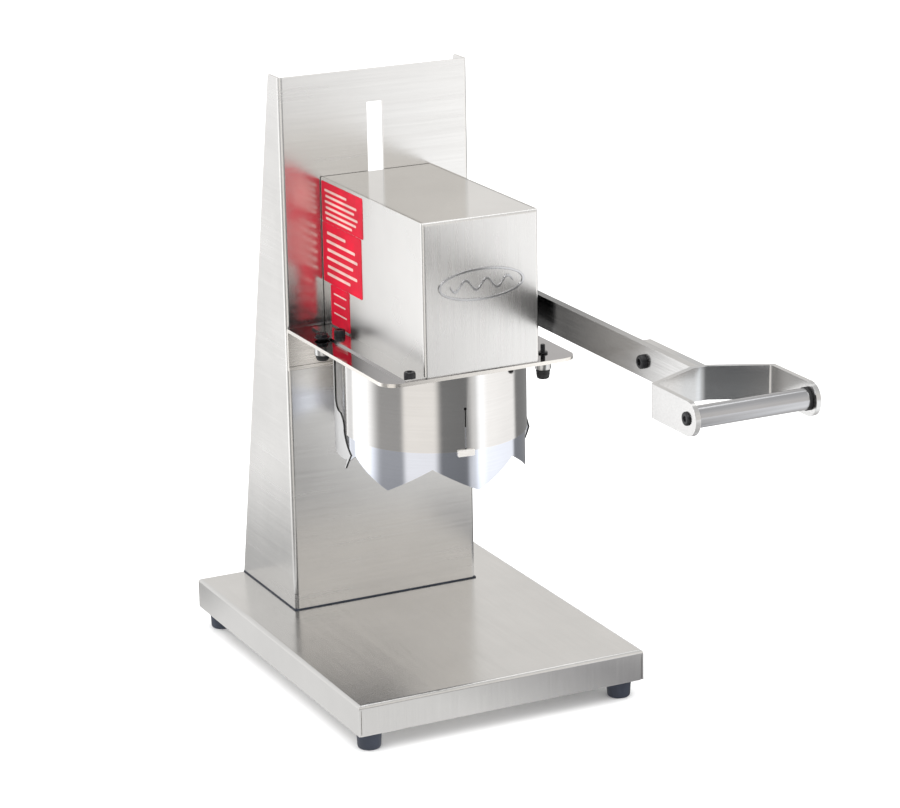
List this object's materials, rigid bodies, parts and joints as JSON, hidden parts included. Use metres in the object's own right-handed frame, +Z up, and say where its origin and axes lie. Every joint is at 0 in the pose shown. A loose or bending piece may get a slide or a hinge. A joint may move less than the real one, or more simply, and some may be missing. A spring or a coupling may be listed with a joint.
{
  "type": "crown punch can opener",
  "caption": "Bench-top lever can opener: a crown-toothed ring knife slides in a guard on a height-adjustable head, with a bent-sheet column and flat pan base.",
  "frame": {"origin": "centre of the whole footprint, lever included, on the worktop plane", "axes": "+Z up, -Y towards the operator (the lever points along -Y at rest), +X to the operator's right"},
  "size_m": [0.252, 0.6061, 0.492],
  "materials": {
    "stainless": "satin brushed stainless sheet",
    "bright_steel": "bright plated or polished steel",
    "knife_steel": "ground and polished tool steel",
    "machined_steel": "machined steel, oiled",
    "bronze": "sintered bronze",
    "black_oxide": "black oxide",
    "rubber": "matt dark blue-grey rubber",
    "knob_plastic": "black moulded plastic",
    "red_label": "printed vinyl label",
    "badge": "raised metal emblem"
  },
  "bodies": {
    "stand": {"base_pan": "stainless", "foot_plates": "stainless", "foot_front_left": "rubber", "foot_front_right": "rubber", "foot_rear_left": "rubber", "foot_rear_right": "rubber", "foot_screws": "bright_steel", "column": "stainless", "column_gasket": "rubber", "column_bolts": "bright_steel"},
    "head": {"head_plate": "stainless", "back_plate": "stainless", "slide_key": "machined_steel", "key_screws": "machined_steel", "side_frame_right": "stainless", "side_frame_left": "stainless", "frame_screws": "machined_steel", "bushing_right": "bronze", "bushing_left": "bronze", "ram_guide": "machined_steel", "guide_bolts": "machined_steel", "guide_keeper": "machined_steel", "punch_sleeve": "stainless", "sleeve_strap": "bright_steel", "ear_studs": "machined_steel", "ear_nuts": "bright_steel", "ear_caps": "rubber", "ear_lock_nut": "black_oxide", "can_guide": "stainless", "can_guide_screws": "bright_steel", "cover": "stainless", "cover_screws": "black_oxide", "side_labels": "red_label", "front_badge": "badge", "clamp_stud": "machined_steel", "clamp_bar": "machined_steel", "clamp_washer": "bright_steel"},
    "knob": {"clamp_knob": "knob_plastic", "knob_insert": "bronze"},
    "lever": {"pinion_shaft": "machined_steel", "pinion": "machined_steel", "pinion_key": "machined_steel", "shaft_spacers": "machined_steel", "shaft_clip": "machined_steel", "lever_bar": "bright_steel", "lever_hub": "bright_steel", "hub_washer": "bright_steel", "hub_screw": "bright_steel", "handle_fork": "bright_steel", "fork_bolt": "black_oxide", "fork_nut": "bright_steel", "grip_tube": "bright_steel", "grip_screws": "black_oxide"},
    "punch": {"ram_rack": "machined_steel", "ram_stop": "machined_steel", "ram_stop_screw": "machined_steel", "knife_carrier": "machined_steel", "carrier_bolt": "machined_steel", "crown_knife": "knife_steel", "knife_screws": "machined_steel"}
  },
  "joints": [
    {"name": "head_height", "type": "slide", "parent": "stand", "child": "head", "axis": [0, 0, 1], "range_m": [-0.074, 0.073]},
    {"name": "lever_turn", "type": "hinge", "parent": "head", "child": "lever", "pos_m": [0, 0.12105, 0.3234], "axis": [-1, 0, 0], "range_deg": [0, 80]},
    {"name": "punch_slide", "type": "slide", "parent": "head", "child": "punch", "axis": [0, 0, 1], "range_m": [0, 0.0336]},
    {"name": "knob_turn", "type": "hinge", "parent": "head", "child": "knob", "pos_m": [0, 0.20065, 0.343], "axis": [0, 1, 0], "range_deg": [0, 360]}
  ],
  "couplings": [
    {"joint": "punch_slide", "follows": "lever_turn", "m_per_rad": 0.024}
  ]
}
